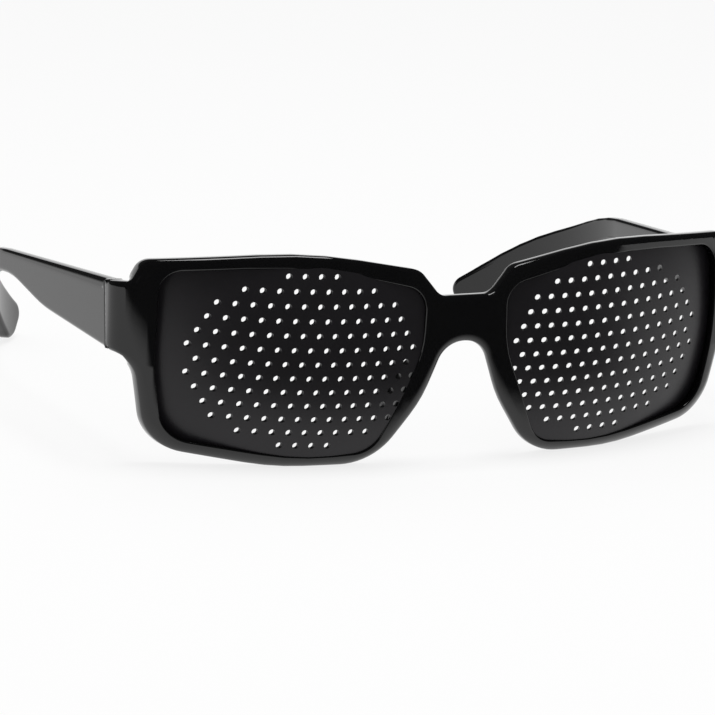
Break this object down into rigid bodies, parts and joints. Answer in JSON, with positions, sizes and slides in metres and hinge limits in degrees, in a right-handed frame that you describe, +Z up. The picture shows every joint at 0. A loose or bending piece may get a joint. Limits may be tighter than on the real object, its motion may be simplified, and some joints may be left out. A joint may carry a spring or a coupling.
{
  "type": "pinhole glasses",
  "caption": "Glasses with a wrapped moulded front, domed sheets perforated with small holes in place of lenses, and hinged temples that fold inward behind the front",
  "frame": {"origin": "middle of the footprint, on the surface that the open glasses rest on", "axes": "+X to the wearer's left, -Y the way the wearer looks, +Z up; the open glasses stand on their lower rims and temple tips"},
  "size_m": [0.1488, 0.1382, 0.0456],
  "materials": {
    "front_plastic": "polished black injection moulding",
    "temple_plastic": "polished black injection moulding",
    "sheet_plastic": "satin black sheet with punched holes",
    "hinge_metal": "plain nickel-plated steel",
    "screw_metal": "bright slotted steel screws"
  },
  "bodies": {
    "front": {"front_frame": "front_plastic", "pinhole_sheet_left": "sheet_plastic", "pinhole_sheet_right": "sheet_plastic", "front_leaf_left": "hinge_metal", "front_leaf_right": "hinge_metal", "hinge_screw_left": "screw_metal", "hinge_screw_right": "screw_metal"},
    "temple_arm_left": {"temple_left": "temple_plastic", "temple_leaf_left": "hinge_metal", "temple_leaf_screws_left": "screw_metal"},
    "temple_arm_right": {"temple_right": "temple_plastic", "temple_leaf_right": "hinge_metal", "temple_leaf_screws_right": "screw_metal"}
  },
  "joints": [
    {"name": "temple_left_fold", "type": "hinge", "parent": "front", "child": "temple_arm_left", "pos_m": [0.0661, -0.04842, 0.03273], "axis": [0, 0.0999, 0.995], "range_deg": [0, 88]},
    {"name": "temple_right_fold", "type": "hinge", "parent": "front", "child": "temple_arm_right", "pos_m": [-0.0661, -0.04842, 0.03273], "axis": [0, -0.0999, -0.995], "range_deg": [0, 80]}
  ]
}
